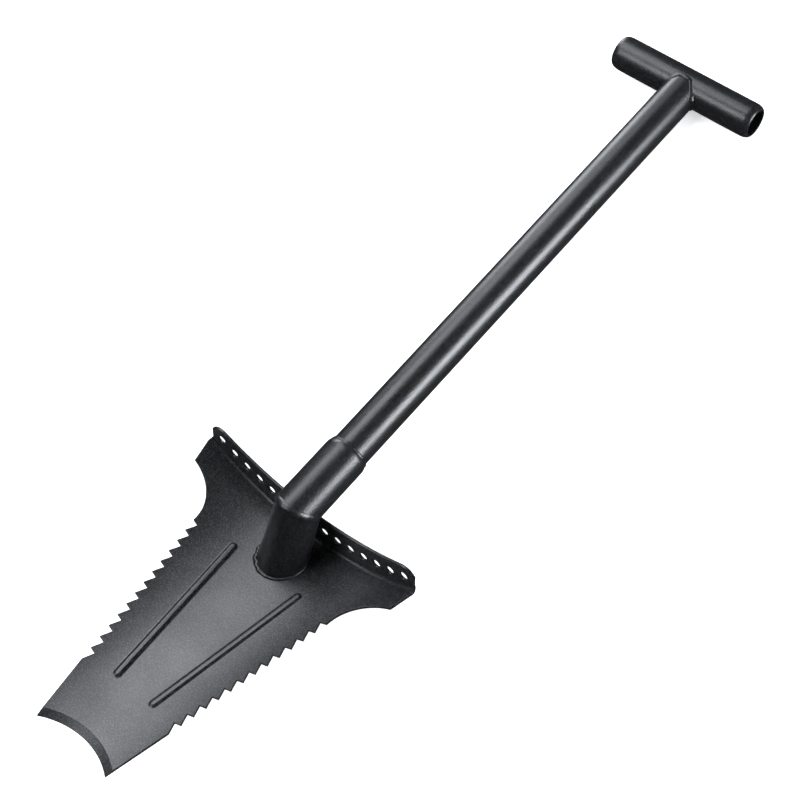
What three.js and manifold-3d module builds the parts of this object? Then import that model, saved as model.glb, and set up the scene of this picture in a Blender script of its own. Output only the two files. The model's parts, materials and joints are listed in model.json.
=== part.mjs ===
// Camp shovel: a pressed, saw-edged blade on a welded tubular T-handle.
//
// Tool frame, millimetres: X runs across the blade, Y from the cutting edge to the handle and
// Z out of the hollow front of the blade. The finished tool is turned about X so that it lies
// on its back on the ground, resting on the heel of the blade and on the T-bar.

import * as THREE from 'three';
import { mergeVertices } from 'three/addons/utils/BufferGeometryUtils.js';
import Module from 'manifold-3d';

const wasm = await Module();
wasm.setup();

// Clearance between two pieces that touch, and roundness of turned shapes.
const GAP = 0.3;
const ROUND = 48;

// Blade: one sheet, hollow across its width.
const SHEET = 2.0;
const DISH_RADIUS = 182.7;
const DISH_STEPS = 32;
const TIP_HALF = 31.6;
const TIP_BITE = 9.8;
const BEVEL_WIDTH = 5.7;
const BEVEL_DEPTH = 1.5;

// Saw edge: every tooth is one step of TOOTH_STEP along the side, with its root set in.
const SAW_START = new THREE.Vector2(40.0, 45.6);
const TOOTH_STEP = new THREE.Vector2(1.67, 9.34);
const TOOTH_ROOT = new THREE.Vector2(4.7, 1.0);
const TEETH = 13;

// Round bite between the saw edge and the shoulder.
const SHOULDER = new THREE.Vector2(89.9, 197.2);
const BITE_DEPTH = 7.9;

// Foot step: the top of the sheet folded forward, with a row of grip holes on each side.
const STEP_Y = 217.3;
const STEP_HALF = 94.0;
const STEP_RISE = 25.4;
const STEP_TOP_RADIUS = 212.0;
const STEP_CORNER = 10.0;
const HOLE_RADIUS = 3.05;
const HOLE_FIRST = 12.9;
const HOLE_PITCH = 11.8;
const HOLES_PER_SIDE = 7;
const HOLE_RISE = 12.4;
const HOLE_ROW_RADIUS = 193.0;

// Two pressed ribs, raised on the front and hollow behind.
const RIB_LOW = new THREE.Vector2(16.6, 54.5);
const RIB_HIGH = new THREE.Vector2(30.2, 172.5);
const RIB_LAYERS = [[5.2, 0.55], [3.4, 1.0]];
const RIB_GROOVE_WIDTH = 2.6;
const RIB_GROOVE_DEPTH = 0.8;

// Elbow socket: a short stub stands on the blade and a sleeve takes the shaft.
const BASE_Y = 189.8;
const ELBOW = new THREE.Vector3(0, 206.9, 41.5);
const STUB_BASE_RADIUS = 17.2;
const SLEEVE_RADIUS = 16.0;
const SLEEVE_BORE = 14.3;
const SLEEVE_LENGTH = 50.3;
const SLEEVE_TAPER = 4.3;
const SLEEVE_MOUTH_RADIUS = 15.0;
const SEAM_WIDTH = 1.2;
const SEAM_PROUD = 0.5;
const BASE_WELD = 3.2;

// Shaft and T-bar.
const LEAN = THREE.MathUtils.degToRad(13.17);
const SHAFT_RADIUS = 14.0;
const SHAFT_BORE = 12.0;
const SHAFT_START = 10.0;
const TEE_Y = 434.4;
const TEE_RADIUS = 13.25;
const TEE_BORE = 11.25;
const TEE_MOUTH = 10.3;
const TEE_HALF = 61.4;
const TEE_NOSE = 6.4;
const TEE_WELD = 2.0;
const TEE_WELD_RISE = 13.6;
const TEE_TRIM = 4.0;

const powderCoat = () => new THREE.MeshStandardMaterial({
  color: 0x3a3c3f, roughness: 0.42, metalness: 0.25,
});
const groundBevel = () => new THREE.MeshStandardMaterial({
  color: 0x2f3133, roughness: 0.5, metalness: 0.25,
});

// A closed geometry as a solid that can be joined and cut.
function solid(geometry, matrix = new THREE.Matrix4()) {
  const bare = geometry.clone().applyMatrix4(matrix);
  bare.deleteAttribute('normal');
  bare.deleteAttribute('uv');
  const welded = mergeVertices(bare, 1e-4);
  return new wasm.Manifold(new wasm.Mesh({
    numProp: 3,
    vertProperties: new Float32Array(welded.attributes.position.array),
    triVerts: new Uint32Array(welded.index.array),
  }));
}

// A solid as a named mesh.
function part(name, shape, material) {
  const mesh = shape.getMesh();
  const geometry = new THREE.BufferGeometry();
  geometry.setAttribute('position', new THREE.BufferAttribute(mesh.vertProperties, 3));
  geometry.setIndex(new THREE.BufferAttribute(mesh.triVerts, 1));
  geometry.computeVertexNormals();
  const piece = new THREE.Mesh(geometry, material);
  piece.name = name;
  return piece;
}

// A round bar from point a to point b, as a solid.
function rod(a, b, radiusA, radiusB = radiusA) {
  const axis = new THREE.Vector3().subVectors(b, a);
  const turn = new THREE.Quaternion().setFromUnitVectors(
    new THREE.Vector3(0, 1, 0), axis.clone().normalize());
  const middle = new THREE.Vector3().addVectors(a, b).multiplyScalar(0.5);
  const place = new THREE.Matrix4().compose(middle, turn, new THREE.Vector3(1, 1, 1));
  return solid(new THREE.CylinderGeometry(radiusB, radiusA, axis.length(), ROUND), place);
}

// A ring turned about Y from its closed section, given as [radius, y] corners.
function turned(corners) {
  const profile = corners.map(([radius, y]) => new THREE.Vector2(radius, y));
  return solid(new THREE.LatheGeometry([...profile, profile[0]], ROUND));
}

// The block on the -Y side of a plane through a point, the plane's normal tilted up from +Y.
function below(point, tilt, offset) {
  const size = 120;
  const block = new THREE.BoxGeometry(size, size, size).translate(0, offset - size / 2, 0);
  const place = new THREE.Matrix4().makeRotationX(tilt).setPosition(point);
  return solid(block, place);
}

// A shape drawn in the X-Z plane, carried along Y from y0 to y1.
function alongY(shape, y0, y1) {
  const geometry = new THREE.ExtrudeGeometry(shape, {
    depth: y1 - y0, bevelEnabled: false, curveSegments: DISH_STEPS,
  });
  return solid(geometry.rotateX(Math.PI / 2).translate(0, y1, 0));
}

// A shape drawn in the X-Y plane, carried up through the whole depth of the blade.
function upright(shape) {
  const low = -20;
  const high = 80;
  const geometry = new THREE.ExtrudeGeometry(shape, {
    depth: high - low, bevelEnabled: false, curveSegments: 20,
  });
  return solid(geometry.translate(0, 0, low));
}

// Height of the hollow front face at a distance from the middle of the blade.
function dish(x, radius = DISH_RADIUS) {
  return radius - Math.sqrt(radius * radius - x * x);
}

// A curved layer of the dish: from height over the front face down to depth under it.
function dishLayer(height, depth, halfAngle = 0.6) {
  const middle = -Math.PI / 2;
  const layer = new THREE.Shape();
  layer.absarc(0, DISH_RADIUS, DISH_RADIUS + depth, middle - halfAngle, middle + halfAngle, false);
  layer.absarc(0, DISH_RADIUS, DISH_RADIUS - height, middle + halfAngle, middle - halfAngle, true);
  return alongY(layer, -10, 240);
}

// An arc through two points that bulges by sag to the left of the way from a to b.
function arcBetween(shape, a, b, sag) {
  const half = a.distanceTo(b) / 2;
  const radius = (half * half + sag * sag) / (2 * Math.abs(sag));
  const along = b.clone().sub(a).normalize();
  const left = new THREE.Vector2(-along.y, along.x).multiplyScalar(Math.sign(sag));
  const middle = a.clone().add(b).multiplyScalar(0.5);
  const centre = middle.addScaledVector(left, Math.abs(sag) - radius);
  const start = Math.atan2(a.y - centre.y, a.x - centre.x);
  const end = Math.atan2(b.y - centre.y, b.x - centre.x);
  shape.absarc(centre.x, centre.y, radius, start, end, sag > 0);
}

// Outline of one side of the blade above its cutting edge, from tip to heel.
function sideCorners() {
  const corners = [new THREE.Vector2(TIP_HALF, 0), SAW_START.clone()];
  for (let tooth = 1; tooth <= TEETH; tooth += 1) {
    const tip = SAW_START.clone().addScaledVector(TOOTH_STEP, tooth);
    corners.push(tip.clone().sub(TOOTH_ROOT), tip);
  }
  return corners;
}

// The whole outline seen from the front: fishtail tip, saw edges, bites and shoulders.
function bladeOutline() {
  const mirror = (corner) => new THREE.Vector2(-corner.x, corner.y);
  const right = sideCorners();
  const left = right.map(mirror).reverse();
  const heelRight = new THREE.Vector2(STEP_HALF, STEP_Y + SHEET);
  const outline = new THREE.Shape();
  outline.moveTo(right[0].x, right[0].y);
  right.slice(1).forEach((corner) => outline.lineTo(corner.x, corner.y));
  arcBetween(outline, right[right.length - 1], SHOULDER, BITE_DEPTH);
  outline.lineTo(STEP_HALF, STEP_Y);
  outline.lineTo(heelRight.x, heelRight.y);
  outline.lineTo(-heelRight.x, heelRight.y);
  outline.lineTo(-STEP_HALF, STEP_Y);
  outline.lineTo(-SHOULDER.x, SHOULDER.y);
  arcBetween(outline, mirror(SHOULDER), left[0], BITE_DEPTH);
  left.slice(1).forEach((corner) => outline.lineTo(corner.x, corner.y));
  arcBetween(outline, left[left.length - 1], right[0], TIP_BITE);
  return outline;
}

// The folded-up foot step in the X-Z plane, its lower edge following the back of the dish.
function stepOutline() {
  const back = DISH_RADIUS + SHEET;
  const spread = Math.asin(STEP_HALF / back);
  const corner = STEP_HALF - STEP_CORNER;
  const topSpread = Math.asin(corner / (STEP_TOP_RADIUS + STEP_CORNER));
  const topCentre = STEP_RISE + STEP_TOP_RADIUS;
  const cornerZ = topCentre - (STEP_TOP_RADIUS + STEP_CORNER) * Math.cos(topSpread);
  const down = -Math.PI / 2;
  const step = new THREE.Shape();
  step.absarc(0, DISH_RADIUS, back, down - spread, down + spread, false);
  step.absarc(corner, cornerZ, STEP_CORNER, 0, -down + topSpread, false);
  step.absarc(0, topCentre, STEP_TOP_RADIUS, down + topSpread, down - topSpread, true);
  step.absarc(-corner, cornerZ, STEP_CORNER, -down - topSpread, Math.PI, false);
  return step;
}

// A long outline with round ends, for a rib.
function ribOutline(side, width) {
  const low = new THREE.Vector2(side * RIB_LOW.x, RIB_LOW.y);
  const high = new THREE.Vector2(side * RIB_HIGH.x, RIB_HIGH.y);
  const heading = Math.atan2(high.y - low.y, high.x - low.x);
  const quarter = Math.PI / 2;
  const rib = new THREE.Shape();
  rib.absarc(low.x, low.y, width / 2, heading + quarter, heading + 3 * quarter, false);
  rib.absarc(high.x, high.y, width / 2, heading - quarter, heading + quarter, false);
  return rib;
}

// The curve of the cutting edge on the front face of the dish.
class TipCurve extends THREE.Curve {
  getPoint(t, target = new THREE.Vector3()) {
    const radius = (TIP_HALF ** 2 + TIP_BITE ** 2) / (2 * TIP_BITE);
    const reach = Math.asin((TIP_HALF + 2) / radius);
    const angle = (2 * t - 1) * reach;
    const x = radius * Math.sin(angle);
    const y = TIP_BITE - radius + radius * Math.cos(angle);
    return target.set(x, y, dish(x));
  }
}

// The metal ground away from the front of the cutting edge.
function bevelCut() {
  const wedge = new THREE.Shape();
  wedge.moveTo(BEVEL_DEPTH, 0);
  wedge.lineTo(-3, -2 * BEVEL_WIDTH);
  wedge.lineTo(-3, BEVEL_WIDTH);
  wedge.lineTo(0, BEVEL_WIDTH);
  return solid(new THREE.ExtrudeGeometry(wedge, {
    steps: 24, bevelEnabled: false, extrudePath: new TipCurve(),
  }));
}

// Grip holes through the foot step.
function gripHoles(sheet) {
  let holed = sheet;
  for (const side of [-1, 1]) {
    for (let i = 0; i < HOLES_PER_SIDE; i += 1) {
      const x = side * (HOLE_FIRST + i * HOLE_PITCH);
      const z = HOLE_RISE + dish(x, HOLE_ROW_RADIUS);
      const hole = new THREE.CylinderGeometry(HOLE_RADIUS, HOLE_RADIUS, 4 * SHEET, 20);
      holed = holed.subtract(solid(hole.translate(x, STEP_Y + SHEET / 2, z)));
    }
  }
  return holed;
}

// Centre line of the stub where it stands on the blade, and its direction up to the elbow.
const BASE = new THREE.Vector3(0, BASE_Y, 0);
const STUB_WAY = new THREE.Vector3().subVectors(ELBOW, BASE).normalize();
const STUB_LENGTH = ELBOW.distanceTo(BASE);
const STUB_TILT = Math.atan2(STUB_WAY.z, STUB_WAY.y);
const SEAM_TILT = (STUB_TILT + LEAN) / 2;

// A round bar on the stub's centre line, wider towards the blade, grown by a margin.
function stubBar(margin, wall = 0) {
  const slope = (STUB_BASE_RADIUS - SLEEVE_RADIUS) / STUB_LENGTH;
  const reach = 28;
  const low = BASE.clone().addScaledVector(STUB_WAY, -reach);
  const high = ELBOW.clone().addScaledVector(STUB_WAY, reach);
  const lowRadius = STUB_BASE_RADIUS + slope * reach + margin - wall;
  const highRadius = SLEEVE_RADIUS - slope * reach + margin - wall;
  return rod(low, high, lowRadius, highRadius);
}

function blade() {
  let sheet = dishLayer(0, SHEET).intersect(upright(bladeOutline()));
  sheet = sheet.add(alongY(stepOutline(), STEP_Y, STEP_Y + SHEET));
  for (const side of [-1, 1]) {
    for (const [width, height] of RIB_LAYERS) {
      const layer = dishLayer(height, SHEET / 4, 0.3);
      sheet = sheet.add(upright(ribOutline(side, width)).intersect(layer));
    }
    const groove = dishLayer(RIB_GROOVE_DEPTH - SHEET, SHEET + 1, 0.3);
    sheet = sheet.subtract(upright(ribOutline(side, RIB_GROOVE_WIDTH)).intersect(groove));
  }
  const socket = stubBar(GAP).intersect(below(ELBOW, SEAM_TILT, 5));
  const relief = socket.intersect(alongY(stepOutline(), STEP_Y - 1, STEP_Y + SHEET + 1));
  return part('blade', gripHoles(sheet.subtract(bevelCut()).subtract(relief)), powderCoat());
}

function socketStub() {
  const wall = SLEEVE_RADIUS - SLEEVE_BORE;
  const tube = stubBar(0).subtract(stubBar(0, wall));
  const cut = tube.intersect(below(ELBOW, SEAM_TILT, -SEAM_WIDTH / 2 - GAP));
  return part('socket_stub', cut.subtract(dishLayer(GAP, 60)), powderCoat());
}

function bladeWeld() {
  const wide = BASE.clone().addScaledVector(STUB_WAY, -14);
  const narrow = BASE.clone().addScaledVector(STUB_WAY, 10);
  const slope = BASE_WELD / 10;
  const bead = rod(wide, narrow, STUB_BASE_RADIUS + GAP + BASE_WELD + 14 * slope,
    STUB_BASE_RADIUS + GAP);
  const ring = bead.subtract(stubBar(GAP)).subtract(dishLayer(GAP, 60));
  return part('weld_blade', ring.subtract(below(BASE, STUB_TILT, -14)), powderCoat());
}

// The butt weld that fills the mitre between stub and sleeve, a little proud outside.
function elbowWeld() {
  const wall = SLEEVE_RADIUS - SLEEVE_BORE;
  const way = new THREE.Vector3(0, Math.cos(LEAN), Math.sin(LEAN));
  const low = ELBOW.clone().addScaledVector(way, -25);
  const high = ELBOW.clone().addScaledVector(way, 25);
  const outer = stubBar(SEAM_PROUD).intersect(rod(low, high, SLEEVE_RADIUS + SEAM_PROUD));
  const inner = stubBar(0, wall).add(rod(low, high, SLEEVE_BORE));
  const slab = below(ELBOW, SEAM_TILT, SEAM_WIDTH / 2)
    .subtract(below(ELBOW, SEAM_TILT, -SEAM_WIDTH / 2));
  return part('weld_elbow', outer.subtract(inner).intersect(slab), powderCoat());
}

// Handle pieces are made in the shaft's own frame: the elbow at the origin, Y up the shaft.
const ORIGIN = new THREE.Vector3();
const TEE_CENTRE = new THREE.Vector3(0, TEE_Y, 0);
const ACROSS = new THREE.Vector3(TEE_HALF, 0, 0);

function teeBar(margin) {
  const left = TEE_CENTRE.clone().sub(ACROSS);
  const right = TEE_CENTRE.clone().add(ACROSS);
  return rod(left, right, TEE_RADIUS + margin);
}

function socketSleeve() {
  const tube = turned([
    [SLEEVE_BORE, -20], [SLEEVE_RADIUS, -20],
    [SLEEVE_RADIUS, SLEEVE_LENGTH - SLEEVE_TAPER],
    [SLEEVE_MOUTH_RADIUS, SLEEVE_LENGTH], [SLEEVE_BORE, SLEEVE_LENGTH],
  ]);
  const cut = tube.subtract(below(ORIGIN, SEAM_TILT - LEAN, SEAM_WIDTH / 2 + GAP));
  return part('socket_sleeve', cut, powderCoat());
}

function sleeveWeld() {
  const inside = SHAFT_RADIUS + GAP;
  const foot = SLEEVE_LENGTH + GAP;
  return part('weld_sleeve', turned([
    [inside, foot], [SLEEVE_MOUTH_RADIUS, foot],
    [SLEEVE_MOUTH_RADIUS - 0.1, foot + 1.2], [inside, foot + 2.6],
  ]), powderCoat());
}

function shaftTube() {
  const end = TEE_Y - TEE_TRIM;
  const tube = turned([
    [SHAFT_BORE, SHAFT_START], [SHAFT_RADIUS, SHAFT_START],
    [SHAFT_RADIUS, end], [SHAFT_BORE, end],
  ]);
  return part('shaft', tube.subtract(teeBar(GAP)), powderCoat());
}

// Half of the T-bar's section: a straight tube whose mouth is drawn in to a round nose.
function teeBarTube() {
  const noseSteps = 6;
  const start = TEE_HALF - TEE_NOSE;
  const drawn = TEE_RADIUS - TEE_MOUTH;
  const nose = [];
  for (let i = 0; i <= noseSteps; i += 1) {
    const angle = (i / noseSteps) * Math.PI / 2;
    nose.push([TEE_RADIUS - drawn * (1 - Math.cos(angle)), start + TEE_NOSE * Math.sin(angle)]);
  }
  const inside = [[TEE_MOUTH - 0.6, TEE_HALF - 1.2], [TEE_BORE, start]];
  const half = [...nose, ...inside];
  const other = half.map(([radius, y]) => [radius, -y]).reverse();
  const bar = part('t_handle', turned([...other, ...half]), powderCoat());
  bar.position.copy(TEE_CENTRE);
  bar.rotation.z = Math.PI / 2;
  return bar;
}

// The fillet round the coped end of the shaft, kept as low as the shaft above and below.
function teeWeld() {
  const margin = GAP + TEE_WELD;
  const start = new THREE.Vector3(0, TEE_Y - 30, 0);
  const shaftEnd = new THREE.Vector3(0, TEE_Y - TEE_TRIM + GAP, 0);
  const layer = new THREE.BoxGeometry(60, 60, 2 * TEE_WELD_RISE).translate(0, TEE_Y, 0);
  const collar = rod(start, TEE_CENTRE, SHAFT_RADIUS + margin)
    .intersect(teeBar(margin)).intersect(solid(layer));
  const bead = collar.subtract(rod(start, shaftEnd, SHAFT_RADIUS + GAP)).subtract(teeBar(GAP));
  return part('weld_tee', bead.subtract(rod(start, TEE_CENTRE, SHAFT_BORE)), powderCoat());
}

const handle = new THREE.Group();
handle.position.copy(ELBOW);
handle.rotation.x = LEAN;
handle.add(socketSleeve(), sleeveWeld(), shaftTube(), teeBarTube(), teeWeld());

const tool = new THREE.Group();
tool.add(blade(), bladeWeld(), socketStub(), elbowWeld(), handle);

// Turn the tool until the line under its heel and the end of its shaft is level, and stand it
// on Z = 0 with the middle of its plan at the origin.
const heel = new THREE.Vector2(STEP_Y + SHEET, -SHEET);
const shaftEnd = new THREE.Vector2(TEE_Y - TEE_TRIM, -SHAFT_RADIUS)
  .rotateAround(new THREE.Vector2(), LEAN)
  .add(new THREE.Vector2(ELBOW.y, ELBOW.z));
tool.rotation.x = -shaftEnd.sub(heel).angle();
tool.updateMatrixWorld(true);
const reach = new THREE.Box3().setFromObject(tool, true);
const middle = reach.getCenter(new THREE.Vector3());
tool.position.set(-middle.x, -middle.y, -reach.min.z);

const group = new THREE.Group();
group.add(tool);

export default group;
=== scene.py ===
"""Camp shovel: the finished look of a pressed, saw-edged blade on a welded tubular T-handle.

Every shape is worked out in the tool's own axes, in millimetres: x across the blade, y from the
cutting edge to the handle, z out of the blade's hollow front.  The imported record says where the
flat tread of the foot step lies in the row frame, and that places the tool's axes.
"""

import json
import logging
from dataclasses import dataclass
from enum import Enum
from typing import Any

import bpy
import numpy as np
from mathutils import Matrix


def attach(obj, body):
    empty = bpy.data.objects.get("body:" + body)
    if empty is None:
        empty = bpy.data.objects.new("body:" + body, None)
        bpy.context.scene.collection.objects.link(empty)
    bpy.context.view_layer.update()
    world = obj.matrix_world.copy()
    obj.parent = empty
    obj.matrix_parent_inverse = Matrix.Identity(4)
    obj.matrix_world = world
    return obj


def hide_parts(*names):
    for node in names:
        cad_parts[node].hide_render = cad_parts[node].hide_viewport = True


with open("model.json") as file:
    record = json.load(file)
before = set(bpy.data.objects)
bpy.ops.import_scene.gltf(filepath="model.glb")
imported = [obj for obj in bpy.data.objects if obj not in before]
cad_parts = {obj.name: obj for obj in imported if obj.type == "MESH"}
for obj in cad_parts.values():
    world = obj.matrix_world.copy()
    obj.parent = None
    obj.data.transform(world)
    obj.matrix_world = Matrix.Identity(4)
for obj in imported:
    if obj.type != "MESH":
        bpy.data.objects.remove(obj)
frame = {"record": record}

LOG = logging.getLogger("camp_shovel")
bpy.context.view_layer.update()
MM = 0.001
TURN = 2.0 * np.pi
QUARTER = np.pi / 2.0
CREASE = float(np.radians(38.0))  # Edges that bend by more than this stay sharp.
Array = np.ndarray


def linear(code: str) -> tuple[float, float, float, float]:
    """Turn an sRGB hex colour into linear light.

    Args:
        code: The colour as six hex digits after a hash.

    Returns:
        Red, green, blue and full alpha, each channel linear.
    """
    part = np.array([int(code[i:i + 2], 16) for i in (1, 3, 5)]) / 255.0
    light = np.where(part <= 0.04045, part / 12.92, ((part + 0.055) / 1.055) ** 2.4)
    return (float(light[0]), float(light[1]), float(light[2]), 1.0)


def unit(vectors: Array) -> Array:
    """Scale vectors to length one along their last axis."""
    return vectors / np.maximum(np.linalg.norm(vectors, axis=-1, keepdims=True), 1e-12)


def smooth_step(value: Array) -> Array:
    """Ease from 0 to 1: three squares less two cubes of the value held between 0 and 1."""
    held = np.clip(value, 0.0, 1.0)
    return held * held * (3.0 - 2.0 * held)


@dataclass(frozen=True)
class Axes:
    """A set of axes in the row frame, in millimetres, on which shapes are worked out.

    Attributes:
        origin: Where the axes start.
        x: Unit vector of the first axis.
        y: Unit vector of the second axis.
        z: Unit vector of the third axis.
    """

    origin: Array
    x: Array
    y: Array
    z: Array

    def out(self, points: Array) -> Array:
        """Give points measured along these axes as points of the row frame."""
        return self.origin + np.asarray(points, float) @ np.stack([self.x, self.y, self.z])

    def tilted(self, origin: Array, lean: float) -> "Axes":
        """Start new axes at a point of these, turned about x.

        Args:
            origin: The new start, measured along these axes.
            lean: Angle in radians from this y towards this z.

        Returns:
            The new axes.
        """
        along = np.cos(lean) * self.y + np.sin(lean) * self.z
        return Axes(self.out(origin), self.x, along, np.cross(self.x, along))


@dataclass(frozen=True)
class Joints:
    """Sizes that several sub-assemblies share, in millimetres and radians.

    Attributes:
        step_front: Distance of the foot step's front face from the cutting edge's corners.
        sheet: Thickness of the blade's sheet.
        tread_rise: Height of the tread's mount over the middle of the dish.
        dish_radius: Radius of the hollow front face.
        base: Where the stub's centre line meets the front of the blade.
        elbow: Where the stub's and the shaft's centre lines meet.
        lean: Angle of the shaft from the blade.
        tee: Distance from the elbow to the T-bar's centre line.
    """

    step_front: float = 217.3
    sheet: float = 2.0
    tread_rise: float = 12.4
    dish_radius: float = 182.7
    base: tuple[float, float, float] = (0.0, 189.8, 0.0)
    elbow: tuple[float, float, float] = (0.0, 206.9, 41.5)
    lean: float = float(np.radians(13.17))
    tee: float = 434.4

    def dish(self, x: Array) -> Array:
        """Height of the hollow front face: radius less the root of radius^2 - x^2."""
        return self.dish_radius - np.sqrt(self.dish_radius ** 2 - np.asarray(x) ** 2)

    def stub_tilt(self) -> float:
        """Angle of the stub's centre line from the blade."""
        way = np.subtract(self.elbow, self.base)
        return float(np.arctan2(way[2], way[1]))

    def stub_length(self) -> float:
        """Length of the stub's centre line."""
        return float(np.linalg.norm(np.subtract(self.elbow, self.base)))

    def seam_slope(self) -> float:
        """Tangent of half the bend, which is how far the mitre leans on each tube."""
        return float(np.tan((self.stub_tilt() - self.lean) / 2.0))


def tool_axes(record: dict[str, Any], joints: Joints) -> Axes:
    """Place the tool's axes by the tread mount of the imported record.

    Args:
        record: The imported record.
        joints: The shared sizes.

    Returns:
        The tool's axes in the row frame, in millimetres.
    """
    mount = next(m for m in record["mounts"] if m["name"] == "step_tread")
    along = unit(np.array(mount["axis"], float))
    across = np.array([1.0, 0.0, 0.0])
    normal = np.cross(across, along)
    tread = np.array(mount["pos_m"], float) / MM
    back = joints.step_front + joints.sheet
    return Axes(tread - back * along - joints.tread_rise * normal, across, along, normal)


def grid_faces(rows: int, columns: int, wrap_rows: bool, wrap_columns: bool) -> Array:
    """List the quads of a grid of points.

    Args:
        rows: Number of rows.
        columns: Number of columns.
        wrap_rows: Whether the last row joins the first.
        wrap_columns: Whether the last column joins the first.

    Returns:
        Corner indices, four to a quad.
    """
    row = np.arange(rows if wrap_rows else rows - 1)
    column = np.arange(columns if wrap_columns else columns - 1)
    row, column = (part.ravel() for part in np.meshgrid(row, column, indexing="ij"))
    next_row = (row + 1) % rows
    next_column = (column + 1) % columns
    corners = [(row, column), (row, next_column), (next_row, next_column), (next_row, column)]
    return np.stack([r * columns + c for r, c in corners], axis=-1)


def band_faces(first: Array, second: Array) -> Array:
    """List the quads between two closed rings of the same number of points."""
    return np.stack([first, np.roll(first, -1), np.roll(second, -1), second], axis=-1)


def outward(points: Array, quads: Array) -> Array:
    """Turn quads so that they enclose a positive volume.

    The volume is the sum over each quad's two triangles of a . (b x c) / 6.

    Args:
        points: Corner points of one closed shape.
        quads: Its quads, all turned alike.

    Returns:
        The quads with their faces pointing out.
    """
    a, b, c, d = (points[quads[:, i]] for i in range(4))
    volume = np.sum(a * np.cross(b, c)) + np.sum(a * np.cross(c, d))
    return quads if volume > 0.0 else quads[:, ::-1]


def make_piece(name: str, points: Array, quads: Array) -> bpy.types.Object:
    """Make a smooth-shaded mesh object from points of the row frame.

    Args:
        name: The piece's name.
        points: Points in millimetres.
        quads: Corner indices, four to a face.

    Returns:
        The linked object, at the origin.
    """
    faces = outward(points, quads)
    mesh = bpy.data.meshes.new(name)
    mesh.vertices.add(len(points))
    mesh.vertices.foreach_set("co", np.ascontiguousarray(points * MM, np.float32).ravel())
    mesh.loops.add(faces.size)
    mesh.loops.foreach_set("vertex_index", np.ascontiguousarray(faces, np.int32).ravel())
    mesh.polygons.add(len(faces))
    mesh.polygons.foreach_set("loop_start", np.arange(0, faces.size, 4, dtype=np.int32))
    mesh.update(calc_edges=True)
    mesh.validate()
    mesh.shade_smooth()
    mesh.set_sharp_from_angle(angle=CREASE)
    piece = bpy.data.objects.new(name, mesh)
    bpy.context.scene.collection.objects.link(piece)
    return piece


def finish_piece(piece: bpy.types.Object, material: bpy.types.Material, slot: str,
                 node: str) -> None:
    """Dress a piece, let it ride on the part's body and let it stand for its CAD node.

    Args:
        piece: The piece.
        material: Its finish.
        slot: The record's material slot that the finish belongs to; not used.
        node: The CAD node that it stands for.
    """
    piece.data.materials.clear()
    piece.data.materials.append(material)
    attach(piece, "root")
    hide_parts(node)
    LOG.info("%s: %d faces", piece.name, len(piece.data.polygons))


def around(steps: int) -> Array:
    """Angles evenly spread over one turn, without the last."""
    return np.arange(steps) * TURN / steps


def radial(angle: Array, along: float = 0.0) -> Array:
    """Directions out of the second axis at angles from the third, leaning along it."""
    return np.stack([np.sin(angle), np.full(len(angle), along), np.cos(angle)], axis=1)


def tube_points(radius: Array, station: Array, angle: Array) -> Array:
    """Points of a turned shape along the second axis, at angles counted from the third.

    Args:
        radius: Radius of each row, of shape (rows, 1) or (rows, columns).
        station: Place of each row along the axis, of the same kind of shape.
        angle: Angle of each column.

    Returns:
        Points of shape (rows, columns, 3).
    """
    radius, station, angle = np.broadcast_arrays(radius, station, angle[None, :])
    return np.stack([radius * np.sin(angle), station, radius * np.cos(angle)], axis=-1)


def closed_tube(name: str, axes: Axes, points: Array) -> bpy.types.Object:
    """Make a piece from a grid whose rows and columns both close on themselves.

    Args:
        name: The piece's name.
        axes: Axes that the points are measured along.
        points: Points of shape (rows, columns, 3).

    Returns:
        The piece.
    """
    rows, columns = points.shape[:2]
    quads = grid_faces(rows, columns, True, True)
    return make_piece(name, axes.out(points.reshape(-1, 3)), quads)


@dataclass(frozen=True)
class Bead:
    """How one weld bead is laid: its grid, its ripples and its section.

    Attributes:
        name: Name of the piece.
        steps: Points along the bead.
        columns: Points round its section.
        ripples: Number of ripples along it.
        depth: Depth of a ripple as a share of the radius.
        flat: Width of the section as a share of its height.
    """

    name: str
    steps: int
    columns: int
    ripples: int
    depth: float
    flat: float

    def scales(self) -> Array:
        """Fish-scale ripples of the bead as a factor on its radius.

        Each ripple is one hump of a rectified sine along the bead, bent forward in the middle of
        the section, and a slow wave of two and five turns round the bead makes them uneven.

        Returns:
            Factors of shape (steps, columns).
        """
        way = around(self.steps)[:, None]
        angle = around(self.columns)[None, :]
        uneven = 0.5 * np.sin(2.0 * way + 0.4) + 0.35 * np.sin(5.0 * way + 1.9)
        hump = np.abs(np.sin(0.5 * self.ripples * way + 0.8 * np.cos(angle) + uneven))
        return 1.0 - self.depth + 2.0 * self.depth * hump + 0.5 * self.depth * uneven

    def lay(self, axes: Axes, path: Array, up: Array, size: Array | float) -> bpy.types.Object:
        """Carry the bead's section along a closed path.

        At each point of the path it is radius * (cos a * up + flat * sin a * side), where side
        is square to the path and to up.

        Args:
            axes: Axes that the path is measured along.
            path: Points of the closed path, of shape (steps, 3).
            up: Direction at each of them in which the bead stands proud.
            size: Radius of the bead, one for all of it or of shape (steps, 1).

        Returns:
            The bead.
        """
        tangent = unit(np.roll(path, -1, axis=0) - np.roll(path, 1, axis=0))
        up = unit(up - np.sum(up * tangent, axis=1, keepdims=True) * tangent)
        side = np.cross(tangent, up)
        angle = around(self.columns)
        ring = (np.cos(angle)[None, :, None] * up[:, None, :]
                + self.flat * np.sin(angle)[None, :, None] * side[:, None, :])
        radius = size * self.scales()
        return closed_tube(self.name, axes, path[:, None, :] + radius[:, :, None] * ring)


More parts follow.
